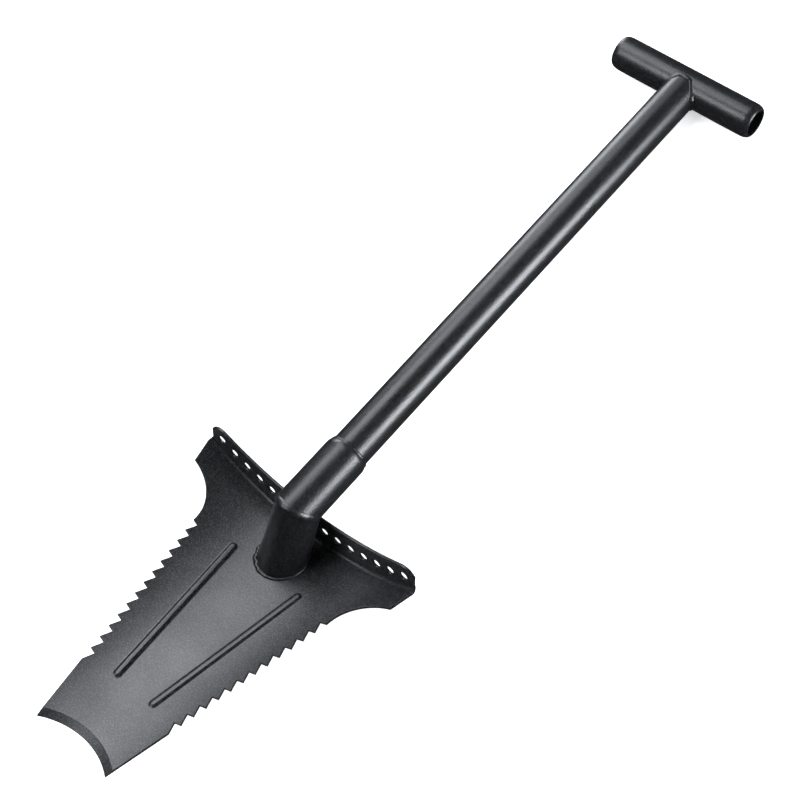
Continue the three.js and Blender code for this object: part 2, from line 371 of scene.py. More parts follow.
def add_node(tree: bpy.types.NodeTree, kind: str, settings: dict[str, Any],
             inputs: dict[Any, Any]) -> bpy.types.Node:
    """Add one node with its settings, values and links.

    Args:
        tree: The node tree.
        kind: The node's type.
        settings: Properties of the node itself.
        inputs: For each input, by name or place, the value it holds or the socket it reads.

    Returns:
        The new node.
    """
    node = tree.nodes.new(kind)
    for key, value in settings.items():
        setattr(node, key, value)
    for key, value in inputs.items():
        if isinstance(value, bpy.types.NodeSocket):
            tree.links.new(value, node.inputs[key])
        else:
            node.inputs[key].default_value = value
    return node


def fresh_material(
        name: str) -> tuple[bpy.types.Material, bpy.types.NodeTree, bpy.types.NodeSocket]:
    """Start a material with a node tree that holds only the place on the object.

    Args:
        name: Name of the material.

    Returns:
        The material, its tree and the socket that gives the place.
    """
    material = bpy.data.materials.new(name)
    material.use_nodes = True
    tree = material.node_tree
    tree.nodes.clear()
    return material, tree, add_node(tree, "ShaderNodeTexCoord", {}, {}).outputs["Object"]


class Surface(Enum):
    """What lies under a coat and how it was made, which names the finish."""

    PRESSED = "pressed_steel"
    # The coat over the tubes keeps the darker default body and fleck: painted shade that keeps
    # the stub near black.
    DRAWN_TUBE_PAINTED_SHADE = "drawn_tube_painted_shade"
    WELDED = "weld_bead"


@dataclass(frozen=True)
class PowderCoat:
    """Polyester powder coat on steel: a dark satin skin with a fine sandy grain.

    Attributes:
        surface: What lies under the coat.
        body: Colour of the coat.
        fleck: Colour of its lighter grains.
        roughness: Middle roughness of the skin.
        density: Index of refraction of the resin.
        grain: Size of a grain in millimetres, coarser than a real one so that it shows.
        grain_depth: Height of the grain in millimetres.
        peel: Size of the skin's slow waves, its orange peel, in millimetres.
        peel_depth: Height of those waves in millimetres.
        cloud: Size of the patches in which the gloss wanders, in millimetres.
    """

    surface: Surface
    # The default body and fleck, kept by the tubes and welds, are darker than the blade's:
    # painted shade that keeps the stub near black.
    body: str = "#080809"
    fleck: str = "#1f2022"
    roughness: float = 0.3
    density: float = 1.5
    grain: float = 0.85
    grain_depth: float = 0.13
    peel: float = 3.5
    peel_depth: float = 0.03
    cloud: float = 45.0

    def build(self) -> bpy.types.Material:
        """Build the coat's node tree.

        Returns:
            The material.
        """
        material, tree, place = fresh_material(f"powder_coat_on_{self.surface.value}")
        sizes = ((self.grain, 1.0, 0.5), (self.peel, 1.5, 0.5), (self.cloud, 4.0, 0.6))
        grain, peel, cloud = (add_node(tree, "ShaderNodeTexNoise", {}, {
            "Vector": place, "Scale": 1.0 / (size * MM), "Detail": detail, "Roughness": fall,
        }).outputs["Fac"] for size, detail, fall in sizes)
        share = add_node(tree, "ShaderNodeMapRange", {"clamp": True}, {
            "Value": grain, "From Min": 0.48, "From Max": 0.64, "To Min": 0.0, "To Max": 1.0,
        }).outputs["Result"]
        colour = add_node(tree, "ShaderNodeMix", {"data_type": "RGBA"}, {
            "Factor": share, 6: linear(self.body), 7: linear(self.fleck),
        }).outputs[2]
        rough = add_node(tree, "ShaderNodeMapRange", {"clamp": True}, {
            "Value": cloud, "From Min": 0.3, "From Max": 0.7,
            "To Min": self.roughness - 0.04, "To Max": self.roughness + 0.05,
        }).outputs["Result"]
        waves = add_node(tree, "ShaderNodeBump", {}, {
            "Height": peel, "Distance": self.peel_depth * MM, "Strength": 1.0,
        }).outputs["Normal"]
        sand = add_node(tree, "ShaderNodeBump", {}, {
            "Height": grain, "Distance": self.grain_depth * MM, "Strength": 1.0,
            "Normal": waves,
        }).outputs["Normal"]
        skin = add_node(tree, "ShaderNodeBsdfPrincipled", {}, {
            "Base Color": colour, "Roughness": rough, "Normal": sand,
            "Metallic": 0.0, "IOR": self.density,
        })
        add_node(tree, "ShaderNodeOutputMaterial", {}, {"Surface": skin.outputs["BSDF"]})
        return material


@dataclass(frozen=True)
class StudioPaper:
    """Matt white background paper: pale, rough and without gloss.

    Attributes:
        name: Name of the material.
        body: Colour of the paper.
        fibre: Size of its fibres in millimetres.
        glow: Light that comes through it from below, as on a light table.
    """

    name: str = "studio_paper_matt"
    body: str = "#f4f4f4"
    fibre: float = 2.0
    glow: float = 0.5

    def build(self) -> bpy.types.Material:
        """Build the paper's node tree.

        Returns:
            The material.
        """
        material, tree, place = fresh_material(self.name)
        fibre = add_node(tree, "ShaderNodeTexNoise", {}, {
            "Vector": place, "Scale": 1.0 / (self.fibre * MM), "Detail": 2.0,
        }).outputs["Fac"]
        bump = add_node(tree, "ShaderNodeBump", {}, {
            "Height": fibre, "Distance": 0.02 * MM,
        }).outputs["Normal"]
        skin = add_node(tree, "ShaderNodeBsdfPrincipled", {}, {
            "Base Color": linear(self.body), "Roughness": 0.95, "Normal": bump,
            "Specular IOR Level": 0.2, "Emission Color": linear("#ffffff"),
            "Emission Strength": self.glow,
        })
        add_node(tree, "ShaderNodeOutputMaterial", {}, {"Surface": skin.outputs["BSDF"]})
        return material


@dataclass(frozen=True)
class Blade:
    """The pressed blade: dished sheet, saw edges, ribs and folded foot step, in millimetres.

    Attributes:
        joints: The shared sizes.
        tip_half: Half the width of the cutting edge.
        tip_bite: How far the cutting edge is hollowed.
        bevel_width: Width of the ground band behind the cutting edge.
        bevel_depth: How much the grinding thins the sheet at the edge.
        saw_start: Where the plain side edge ends, as x and y.
        tooth_step: The way from one tooth's tip to the next.
        tooth_root: How far a root lies inside and below the tip above it.
        teeth: Number of teeth on a side.
        shoulder: Where the round bite under the foot step ends.
        bite_depth: Depth of that bite from its chord.
        half_width: Half the width at the fold.
        fold_radius: Inside radius of the fold.
        step_rise: Height of the foot step in the middle.
        step_top_radius: Radius of its top edge.
        step_corner: Radius of its upper corners.
        rib_low: Lower end of a rib's centre line.
        rib_high: Upper end of it.
        rib_half: Half the width of a rib.
        rib_height: Height of a rib.
        rib_flank: Width of a rib's flank.
        rim: Radius of the sheet's softened edges.
        hole_radius: Radius of a grip hole.
        hole_first: Distance of the first hole from the middle.
        hole_pitch: Distance between holes.
        holes: Number of holes on a side.
        hole_rise: Height of the row of holes in the middle.
        hole_row_radius: Radius on which the row lies.
        edge_step: Longest step of the grid along the side edge.
        edge_band: Width of the band beside the edge that takes up the teeth.
        tip_fade: Length over which the cutting edge's hollow dies out in the grid.
    """

    joints: Joints
    tip_half: float = 31.6
    tip_bite: float = 9.8
    bevel_width: float = 5.7
    bevel_depth: float = 1.5
    saw_start: tuple[float, float] = (40.0, 45.6)
    tooth_step: tuple[float, float] = (1.67, 9.34)
    tooth_root: tuple[float, float] = (4.7, 1.0)
    teeth: int = 13
    shoulder: tuple[float, float] = (89.9, 197.2)
    bite_depth: float = 7.9
    half_width: float = 94.0
    fold_radius: float = 2.8
    step_rise: float = 25.4
    step_top_radius: float = 212.0
    step_corner: float = 10.0
    rib_low: tuple[float, float] = (16.6, 54.5)
    rib_high: tuple[float, float] = (30.2, 172.5)
    rib_half: float = 3.3
    rib_height: float = 1.3
    rib_flank: float = 2.3
    rim: float = 0.3
    hole_radius: float = 3.05
    hole_first: float = 12.9
    hole_pitch: float = 11.8
    holes: int = 7
    hole_rise: float = 12.4
    hole_row_radius: float = 193.0
    edge_step: float = 0.85
    edge_band: float = 12.0
    tip_fade: float = 45.0

    def fold_start(self) -> float:
        """Where the fold begins, counted from the cutting edge's corners."""
        return self.joints.step_front - self.fold_radius

    def saw_corners(self) -> Array:
        """Corners of the side edge: each tooth is one step on, its root set in from its tip.

        Returns:
            The corners from the tip of the blade to the last tooth, as (x, y) rows.
        """
        number = np.arange(1, self.teeth + 1)[:, None]
        tips = np.array(self.saw_start) + number * np.array(self.tooth_step)
        roots = tips - np.array(self.tooth_root)
        saw = np.stack([roots, tips], axis=1).reshape(-1, 2)
        return np.vstack([[self.tip_half, 0.0], self.saw_start, saw])

    def bite_arc(self, start: Array) -> Array:
        """Round bite from the last tooth to the shoulder.

        The arc's radius is (half chord^2 + depth^2) / (2 depth), and it bulges to the left of
        the way from the tooth to the shoulder.

        Args:
            start: Tip of the last tooth.

        Returns:
            Points of the arc, its two ends included.
        """
        end = np.array(self.shoulder)
        half = np.linalg.norm(end - start) / 2.0
        radius = (half ** 2 + self.bite_depth ** 2) / (2.0 * self.bite_depth)
        along = (end - start) / (2.0 * half)
        left = np.array([-along[1], along[0]])
        reach = np.arcsin(half / radius)
        angle = np.linspace(-reach, reach, 34)[:, None]
        centre = (start + end) / 2.0 + left * (self.bite_depth - radius)
        return centre + radius * (np.sin(angle) * along + np.cos(angle) * left)

    def side_edge(self) -> Array:
        """The whole side edge from the tip to the fold, in short steps.

        Rows are added at the bevel's crease and closely round the ends of the ribs.

        Returns:
            Points of the edge as (x, y) rows, y always growing.
        """
        corners = self.saw_corners()
        arc = self.bite_arc(corners[-1])
        heel = np.array([[self.half_width, self.fold_start()]])
        corners = np.vstack([corners, arc[1:], heel])
        length = np.linalg.norm(np.diff(corners, axis=0), axis=1)
        steps = np.maximum(np.ceil(length / self.edge_step), 1.0).astype(int)
        way = np.concatenate([[0.0], np.cumsum(steps)])
        y = np.interp(np.arange(way[-1] + 1), way, corners[:, 1])
        crease = self.bevel_width + np.array([-0.2, 0.2])
        ends = [np.arange(end - 4.0, end + 4.0, 0.4)
                for end in (self.rib_low[1], self.rib_high[1])]
        y = np.sort(np.concatenate([y, crease, *ends]))
        return np.stack([np.interp(y, corners[:, 1], corners[:, 0]), y], axis=1)

    def rib_centre(self, y: Array) -> Array:
        """Distance of a rib's centre line from the middle, carried on past its ends."""
        low, high = np.array(self.rib_low), np.array(self.rib_high)
        return low[0] + (y - low[1]) * (high[0] - low[0]) / (high[1] - low[1])

    def columns(self, edge: Array) -> Array:
        """Spread the columns of the grid over each row.

        Fixed columns follow the middle, both sides of the rib, a line well inside the teeth and
        the edge.  The last stretch crowds towards the edge as a sine does, so that only it takes
        up the teeth.

        Args:
            edge: The side edge, as (x, y) rows.

        Returns:
            Distances from the middle for the right half, of shape (rows, columns).
        """
        envelope = np.interp(edge[:, 1], [0.0, self.saw_start[1]],
                             [self.tip_half, self.saw_start[0]])
        last = np.array(self.saw_start) + self.teeth * np.array(self.tooth_step)
        slope = self.tooth_step[0] / self.tooth_step[1]
        saw = self.saw_start[0] + (edge[:, 1] - self.saw_start[1]) * slope
        envelope = np.where(edge[:, 1] > self.saw_start[1], saw, envelope)
        envelope = np.where(edge[:, 1] >= last[1], edge[:, 0], envelope) - self.edge_band
        rib = self.rib_centre(edge[:, 1])
        spread = 1.25 * self.rib_half
        fixed = [np.zeros(len(edge)), rib - spread, rib + spread, envelope]
        parts = []
        for first, second, steps in zip(fixed[:-1], fixed[1:], (6, 18, 9)):
            share = np.arange(steps)[None, :] / steps
            parts.append(first[:, None] * (1.0 - share) + second[:, None] * share)
        share = np.sin(np.linspace(0.0, QUARTER, 14))[None, :]
        inner = (edge[:, 0] - self.rim)[:, None]
        parts.append(envelope[:, None] * (1.0 - share) + inner * share)
        return np.hstack(parts)

    def tip_curve(self, share: Array) -> Array:
        """How far the hollowed cutting edge lies behind its corners.

        It is an arc of radius (half^2 + bite^2) / (2 bite) over the corners.

        Args:
            share: Place across the blade, from -1 to 1.

        Returns:
            The distance, nought at both corners.
        """
        radius = (self.tip_half ** 2 + self.tip_bite ** 2) / (2.0 * self.tip_bite)
        across = self.tip_half * np.clip(share, -1.0, 1.0)
        return np.sqrt(radius ** 2 - across ** 2) - (radius - self.tip_bite)

    def rib_relief(self, x: Array, y: Array, half: float, round_off: float) -> Array:
        """Height of the ribs: full on the centre line, easing to nought at the half width.

        Args:
            x: Distance across the blade.
            y: Distance along it.
            half: Half width at which the rib ends.
            round_off: Width of the flank.

        Returns:
            Height over the sheet.
        """
        low, high = np.array(self.rib_low), np.array(self.rib_high)
        way = high - low
        length = np.linalg.norm(way)
        from_low = np.stack([np.abs(x), y], axis=-1) - low
        share = np.clip(from_low @ way / length ** 2, 0.0, 1.0)
        away = np.linalg.norm(from_low - share[..., None] * way, axis=-1)
        return self.rib_height * smooth_step((half - away) / round_off)

    def flat_part(self) -> tuple[Array, Array, Array]:
        """The dished part of the sheet up to the fold.

        Returns:
            Points of the front face, of the back face, and the front's unit normals.
        """
        edge = self.side_edge()
        half = self.columns(edge)
        x = np.hstack([-half[:, :0:-1], half])
        share = x / np.maximum(edge[:, :1], 1.0)
        fade = 1.0 - smooth_step((edge[:, 1] - 1.5 * self.bevel_width) / self.tip_fade)
        y = edge[:, 1:] + self.tip_curve(share) * fade[:, None]
        normal = np.stack([-x / self.joints.dish_radius, np.zeros_like(x),
                           np.sqrt(1.0 - (x / self.joints.dish_radius) ** 2)], axis=-1)
        base = np.stack([x, y, self.joints.dish(x)], axis=-1)
        raised = self.rib_relief(x, y, self.rib_half, self.rib_flank)
        # The groove behind a rib is a little narrower than the rib.
        hollow = self.rib_relief(x, y, self.rib_half - 0.4, self.rib_flank - 0.5)
        ground = self.bevel_depth * np.clip(1.0 - edge[:, 1:] / self.bevel_width, 0.0, 1.0)
        front = base + (raised - ground)[..., None] * normal
        back = base + (hollow - self.joints.sheet)[..., None] * normal
        return front, back, normal

    def fold_and_step(self, row: Array, normal: Array) -> tuple[Array, Array, Array]:
        """The fold and the upright foot step, carried on from the last row of the dish.

        In the fold the sheet's normal turns from the dish's to -y about a centre one fold radius
        in front of the sheet; then the sheet runs straight up to the step's top edge.

        Args:
            row: Front points where the fold starts.
            normal: Their unit normals.

        Returns:
            Front points, back points and normals of the rows that follow.
        """
        forward = np.array([0.0, 1.0, 0.0])
        turn = np.linspace(0.0, QUARTER, 9)[1:, None, None]
        fold_normal = np.cos(turn) * normal - np.sin(turn) * forward
        fold = row + self.fold_radius * (normal - fold_normal)
        foot = fold[-1]
        top = self.step_top(foot[:, 0])
        share = np.linspace(0.0, 1.0, 22)[1:, None]
        up = np.stack([np.broadcast_to(foot[:, 0], (len(share), len(foot))),
                       np.broadcast_to(foot[:, 1], (len(share), len(foot))),
                       foot[:, 2] * (1.0 - share) + top * share], axis=-1)
        up_normal = np.broadcast_to(-forward, up.shape)
        front = np.concatenate([fold, up])
        normals = np.concatenate([fold_normal, up_normal])
        return front, front - self.joints.sheet * normals, normals

    def step_top(self, x: Array) -> Array:
        """Height of the foot step's top edge, one rim radius inside the finished edge.

        A wide hollow arc runs on into round corners that touch it, so the corner's centre lies
        the sum of both radii from the arc's.

        Args:
            x: Distance across the blade.

        Returns:
            Height over the middle of the dish.
        """
        away = np.abs(x)
        arc = self.step_top_radius + self.rim
        corner = self.step_corner - self.rim
        side = self.half_width - self.step_corner
        centre = self.step_rise + self.step_top_radius
        low = centre - np.sqrt((arc + corner) ** 2 - side ** 2)
        hollow = centre - np.sqrt(arc ** 2 - np.minimum(away, arc) ** 2)
        round_off = low + np.sqrt(np.maximum(corner ** 2 - (away - side) ** 2, 0.0))
        return np.where(away <= side * arc / (arc + corner), hollow, round_off)

    def rim_rings(self, front: Array, back: Array, normal: Array) -> tuple[Array, Array]:
        """Round off the sheet's edge all the way round.

        Each ring stands off the edge by the rim radius times the sine of its angle, square to
        the edge and in the sheet, and nearer the middle of the sheet by one less the cosine.

        Args:
            front: Front points of the grid, of shape (rows, columns, 3).
            back: Back points of the same grid.
            normal: Unit normals of the front.

        Returns:
            Ring points of shape (rings, edge points, 3), and the edge points' grid indices.
        """
        rows, columns = front.shape[:2]
        index = np.arange(rows * columns).reshape(rows, columns)
        loop = np.concatenate([index[0], index[1:, -1], index[-1, -2::-1], index[-2:0:-1, 0]])
        near, far, face = (grid.reshape(-1, 3)[loop] for grid in (front, back, normal))
        ahead = unit(np.roll(near, -1, axis=0) - near)
        side = np.cross(ahead, face)
        off = unit(side) + unit(np.roll(side, 1, axis=0))
        off = off / np.maximum(np.sum(off * off, axis=1, keepdims=True), 1.2) * 2.0
        middle, half = (near + far) / 2.0, (near - far) / 2.0
        thick = np.linalg.norm(half, axis=1, keepdims=True)
        radius = np.minimum(self.rim, 0.85 * thick)
        angle = np.radians([30.0, 60.0, 90.0])[:, None, None]
        inward = 1.0 - (radius / thick) * (1.0 - np.cos(angle))
        stand = radius * np.sin(angle) * off
        upper = middle + inward * half + stand
        lower = (middle - inward * half + stand)[::-1]
        return np.concatenate([upper, lower]), loop

    def cutters(self) -> tuple[Array, list[list[int]]]:
        """Closed shapes that cut the grip holes, each flared where it leaves the sheet.

        Returns:
            Points along the tool's axes, and faces.
        """
        sides = 28
        face = self.joints.step_front
        # Stations into the sheet from one face, and how much wider the hole is at each.
        depth = np.array([-1.2, -0.01, 0.12, 0.3, 0.65])
        flare = np.array([1.9, 0.62, 0.36, 0.16, 0.0])
        along = np.concatenate([depth, self.joints.sheet - depth[::-1]])[:, None] + face
        radius = self.hole_radius + np.concatenate([flare, flare[::-1]])[:, None]
        drill = tube_points(radius, along, around(sides)).reshape(-1, 3)
        rows = len(along)
        wall = grid_faces(rows, sides, False, True)
        number = np.arange(self.holes)
        x = self.hole_first + number * self.hole_pitch
        x = np.concatenate([-x[::-1], x])
        rise = self.hole_row_radius - np.sqrt(self.hole_row_radius ** 2 - x ** 2)
        place = np.stack([x, np.zeros_like(x), self.hole_rise + rise], axis=1)
        points = (drill[None] + place[:, None]).reshape(-1, 3)
        faces: list[list[int]] = []
        for start in range(0, len(points), len(drill)):
            faces += (wall + start).tolist()
            faces.append(list(range(start + sides - 1, start - 1, -1)))
            faces.append(list(range(start + (rows - 1) * sides, start + rows * sides)))
        return points, faces

    def build(self, axes: Axes) -> bpy.types.Object:
        """Make the blade's mesh and cut its holes.

        Args:
            axes: The tool's axes.

        Returns:
            The blade.
        """
        front, back, normal = self.flat_part()
        step_front, step_back, step_normal = self.fold_and_step(front[-1], normal[-1])
        front = np.concatenate([front, step_front])
        back = np.concatenate([back, step_back])
        normal = np.concatenate([normal, step_normal])
        rings, loop = self.rim_rings(front, back, normal)
        count = front.shape[0] * front.shape[1]
        face = grid_faces(front.shape[0], front.shape[1], False, False)
        ring_index = 2 * count + np.arange(rings.shape[0] * len(loop)).reshape(-1, len(loop))
        chain = [loop, *ring_index, loop + count]
        bands = [band_faces(b, a) for a, b in zip(chain[:-1], chain[1:])]
        points = np.concatenate([part.reshape(-1, 3) for part in (front, back, rings)])
        quads = np.vstack([face, face[:, ::-1] + count, *bands])
        piece = make_piece("blade_sheet", axes.out(points), quads)
        self.drill(piece, axes)
        return piece

    def drill(self, piece: bpy.types.Object, axes: Axes) -> None:
        """Cut the grip holes out of the blade with a boolean, and keep its result.

        Args:
            piece: The blade.
            axes: The tool's axes.
        """
        points, faces = self.cutters()
        mesh = bpy.data.meshes.new("drills")
        mesh.from_pydata((axes.out(points) * MM).tolist(), [], faces)
        drills = bpy.data.objects.new("drills", mesh)
        bpy.context.scene.collection.objects.link(drills)
        cut = piece.modifiers.new("holes", "BOOLEAN")
        cut.operation = "DIFFERENCE"
        cut.solver = "EXACT"
        cut.object = drills
        graph = bpy.context.evaluated_depsgraph_get()
        result = bpy.data.meshes.new_from_object(piece.evaluated_get(graph))
        piece.modifiers.clear()
        piece.data = result
        result.name = piece.name
        result.shade_smooth()
        result.set_sharp_from_angle(angle=CREASE)
        bpy.data.objects.remove(drills)


@dataclass(frozen=True)
class Socket:
    """The elbow socket: stub, sleeve, and the welds at the blade, the elbow and the mouth.

    Attributes:
        joints: The shared sizes.
        radius: Outside radius of sleeve and stub at the elbow.
        base_radius: Outside radius of the stub at the blade.
        wall: Wall thickness.
        length: Length of the sleeve from the elbow.
        taper: Length of its drawn-in mouth.
        mouth: Outside radius at the mouth.
        shaft: Outside radius of the shaft.
        sides: Steps round a tube.
    """

    joints: Joints
    radius: float = 16.0
    base_radius: float = 17.2
    wall: float = 1.9
    length: float = 50.3
    taper: float = 4.3
    mouth: float = 14.9
    shaft: float = 14.0
    sides: int = 112

    def sleeve(self, axes: Axes) -> bpy.types.Object:
        """Make the sleeve, mitred at the elbow and drawn in at its mouth.

        Args:
            axes: Axes at the elbow, their second axis up the shaft.

        Returns:
            The sleeve.
        """
        angle = around(self.sides)
        slope = self.joints.seam_slope()
        draw = np.linspace(0.0, 1.0, 9)
        body = np.linspace(0.12, 1.0, 5) * (self.length - self.taper)
        outer_y = np.concatenate([body, self.length - self.taper * (1.0 - draw[1:])])
        narrow = (self.radius - self.mouth) * draw[1:] ** 2
        outer_r = np.concatenate([np.full(5, self.radius), self.radius - narrow])
        lip_y = self.length + np.array([0.25, 0.35, 0.2, -0.4])
        lip_r = np.array([self.mouth - 0.15, self.mouth - 0.45, self.shaft + 0.25, self.shaft])
        y = np.concatenate([outer_y, lip_y])
        r = np.concatenate([outer_r, lip_r])
        shell = tube_points(r[:, None], y[:, None], angle)
        ends = np.array([[self.radius], [self.shaft + 0.1]])
        mitre = tube_points(ends, -slope * ends * np.cos(angle), angle)
        points = np.concatenate([mitre[:1], shell, mitre[1:]])
        return closed_tube("socket_sleeve_tube", axes, points)

    def stub(self, axes: Axes) -> bpy.types.Object:
        """Make the stub from the dish up to the mitre, in axes that start at the elbow.

        A ray of the stub's wall meets the dish where its height over the tool's x-y plane is the
        dish's, and meets the mitre where its station is slope times its height.

        Args:
            axes: Axes at the elbow, their second axis up the stub.

        Returns:
            The stub.
        """
        angle = around(self.sides)
        length = self.joints.stub_length()
        tilt = self.joints.stub_tilt()
        grow = (self.base_radius - self.radius) / length
        share = np.linspace(0.0, 1.0, 12)[:, None]
        rows = []
        for inset, order in ((0.0, 1), (self.wall, -1)):
            top_radius = self.radius - inset
            low_radius = self.base_radius - inset
            top = self.joints.seam_slope() * top_radius * np.cos(angle)
            x = low_radius * np.sin(angle)
            height = low_radius * np.cos(angle) * np.cos(tilt)
            foot = (self.joints.dish(x) - 0.4 - self.joints.elbow[2] - height) / np.sin(tilt)
            station = foot * (1.0 - share) + top * share
            radius = np.clip(top_radius - grow * station, top_radius, low_radius + 0.6)
            rows.append(tube_points(radius, station, angle)[::order])
        return closed_tube("socket_stub_tube", axes, np.concatenate(rows))

    def elbow_weld(self, axes: Axes) -> bpy.types.Object:
        """Make the dressed-down bead round the mitre, in the sleeve's axes.

        Args:
            axes: The sleeve's axes.

        Returns:
            The bead.
        """
        bead = Bead("weld_bead_elbow", 220, 14, ripples=30, depth=0.015, flat=2.4)
        angle = around(bead.steps)
        path = tube_points(np.array([[self.radius - 0.75]]),
                           -self.joints.seam_slope() * self.radius * np.cos(angle)[None, :],
                           angle)[0]
        return bead.lay(axes, path, radial(angle), 1.1)

    def mouth_weld(self, axes: Axes) -> bpy.types.Object:
        """Make the thin fillet where the shaft leaves the sleeve.

        Args:
            axes: The sleeve's axes.

        Returns:
            The fillet.
        """
        bead = Bead("weld_bead_mouth", 200, 12, ripples=17, depth=0.07, flat=1.5)
        angle = around(bead.steps)
        wander = 0.3 * np.sin(3.0 * angle + 0.7) + 0.2 * np.sin(7.0 * angle)
        path = tube_points(np.array([[self.shaft + 0.1]]),
                           (self.length + 0.6 + wander)[None, :], angle)[0]
        return bead.lay(axes, path, radial(angle), 0.95)

    def base_weld(self, axes: Axes) -> bpy.types.Object:
        """Make the bead round the foot of the stub, on the dish, in the tool's axes.

        It is thick and uneven on one side, where a lump rises as a bell curve of the angle.

        Args:
            axes: The tool's axes.

        Returns:
            The bead.
        """
        bead = Bead("weld_bead_base", 260, 16, ripples=26, depth=0.03, flat=1.25)
        angle = around(bead.steps)
        tilt = self.joints.stub_tilt()
        radius = self.base_radius + 0.2
        lump = np.exp(-(np.sin((angle - 4.0) / 2.0) / 0.3) ** 2)
        radius = radius + lump * (0.3 + 0.35 * np.sin(13.0 * angle + 0.8))
        x = radius * np.sin(angle)
        y = self.joints.base[1] + radius / np.sin(tilt) * np.cos(angle)
        path = np.stack([x, y, self.joints.dish(x) + 0.4], axis=1)
        middle = np.array([0.0, self.joints.base[1], 0.0])
        up = unit(unit(path - middle) + np.array([0.0, 0.0, 0.8]))
        size = 0.95 + 0.15 * np.sin(4.0 * angle + 0.5) + lump * (0.8 + 0.3 * np.sin(19.0 * angle))
        return bead.lay(axes, path, up, size[:, None])


@dataclass(frozen=True)
class Handle:
    """The shaft, the T-bar and the weld between them, in the shaft's axes.

    Attributes:
        joints: The shared sizes.
        radius: Outside radius of the shaft.
        bore: Inside radius of the shaft.
        start: Where the shaft begins inside the sleeve.
        bar: Outside radius of the T-bar.
        bar_bore: Inside radius of the T-bar.
        bar_half: Half its length.
        nose: Length of its drawn-in ends.
        mouth: Radius of the hole left in each end.
        sides: Steps round a tube.
        stop: Least distance of the shaft's end from the T-bar's centre line.
    """

    joints: Joints
    radius: float = 14.0
    bore: float = 12.0
    start: float = 10.0
    bar: float = 13.25
    bar_bore: float = 11.25
    bar_half: float = 61.4
    nose: float = 6.4
    mouth: float = 10.3
    sides: int = 112
    stop: float = 3.2

    def cope(self, radius: float, into: float, angle: Array) -> Array:
        """Where a ray of the shaft's wall meets the T-bar.

        A ray at height h over the shaft's middle plane meets the bar at its centre line less the
        root of bar^2 - h^2, and stops short of that centre line.

        Args:
            radius: Radius of the ray.
            into: How far the end reaches into the bar.
            angle: Angles of the rays.

        Returns:
            Stations along the shaft.
        """
        height = radius * np.cos(angle)
        depth = np.sqrt(np.maximum((self.bar - into) ** 2 - height ** 2, 0.0))
        return self.joints.tee - np.maximum(depth, self.stop)

    def shaft(self, axes: Axes) -> bpy.types.Object:
        """Make the shaft's tube, coped to the T-bar.

        Args:
            axes: The shaft's axes.

        Returns:
            The shaft.
        """
        angle = around(self.sides)
        share = np.linspace(0.0, 1.0, 24)[:, None]
        rows = []
        for radius, order in ((self.radius, 1), (self.bore, -1)):
            end = self.cope(radius, 0.5, angle)[None, :]
            station = self.start * (1.0 - share) + end * share
            rows.append(tube_points(np.array([[radius]]), station, angle)[::order])
        return closed_tube("shaft_tube", axes, np.concatenate(rows))

    def t_bar(self, axes: Axes) -> bpy.types.Object:
        """Make the T-bar's tube with both its ends drawn in to a round nose.

        Args:
            axes: The shaft's axes.

        Returns:
            The T-bar.
        """
        turn = np.linspace(0.0, QUARTER, 12)
        straight = self.bar_half - self.nose
        drawn = self.bar - self.mouth
        nose_r = self.bar - drawn * (1.0 - np.cos(turn))
        nose_y = straight + self.nose * np.sin(turn)
        lip_r = np.array([self.mouth - 0.35, self.mouth - 0.55, self.mouth - 0.3])
        lip_y = self.bar_half - np.array([0.15, 0.7, 1.9])
        bore_y = np.array([straight - 1.0, straight - 8.0, 0.5 * straight])
        half_r = np.concatenate([nose_r, lip_r, np.full(3, self.bar_bore)])
        half_y = np.concatenate([nose_y, lip_y, bore_y])
        outer = np.linspace(0.0, straight, 10)[:-1]
        r = np.concatenate([np.full(9, self.bar), half_r])
        y = np.concatenate([outer, half_y])
        r = np.concatenate([r, r[::-1][:-1]])
        y = np.concatenate([y, -y[::-1][:-1]])
        points = tube_points(r[:, None], y[:, None], around(self.sides))
        across = Axes(axes.out(np.array([0.0, self.joints.tee, 0.0])), axes.y, axes.x, -axes.z)
        return closed_tube("t_handle_tube", across, points)

    def tee_weld(self, axes: Axes) -> bpy.types.Object:
        """Make the rippled fillet round the saddle between shaft and T-bar.

        Underneath it shrinks and sinks in, so that nothing stands lower than the shaft.

        Args:
            axes: The shaft's axes.

        Returns:
            The fillet.
        """
        bead = Bead("weld_bead_tee", 240, 16, ripples=26, depth=0.035, flat=1.3)
        angle = around(bead.steps)
        station = self.cope(self.radius, 0.0, angle)
        kernel = np.hanning(17)
        padded = np.concatenate([station[-8:], station, station[:8]])
        station = np.convolve(padded, kernel / kernel.sum(), mode="valid")
        lump = np.exp(-(np.sin((angle - 1.18) / 2.0) / 0.12) ** 2)
        size = 1.15 + 0.15 * np.sin(3.0 * angle + 1.0) + 0.1 * np.sin(8.0 * angle) + 1.1 * lump
        under = smooth_step((-np.cos(angle) - 0.55) / 0.3)
        size = size * (1.0 - 0.5 * under)
        inset = 0.1 + under * 1.3 * size
        path = tube_points((self.radius - inset)[None, :], station[None, :], angle)[0]
        return bead.lay(axes, path, radial(angle, -0.55), size[:, None])


def facing(spot: Array, target: Array, up: Array) -> Matrix:
    """Make the matrix of a light or camera that looks at a point along its own -z.

    Args:
        spot: Where it stands in the row frame, in millimetres.
        target: What it looks at.
        up: Direction that its second axis leans to.

    Returns:
        The matrix, in metres.
    """
    back = unit(spot - target)
    side = unit(np.cross(up, back))
    matrix = np.eye(4)
    matrix[:3] = np.stack([side, np.cross(back, side), back, spot * MM], axis=1)
    return Matrix(matrix.tolist())


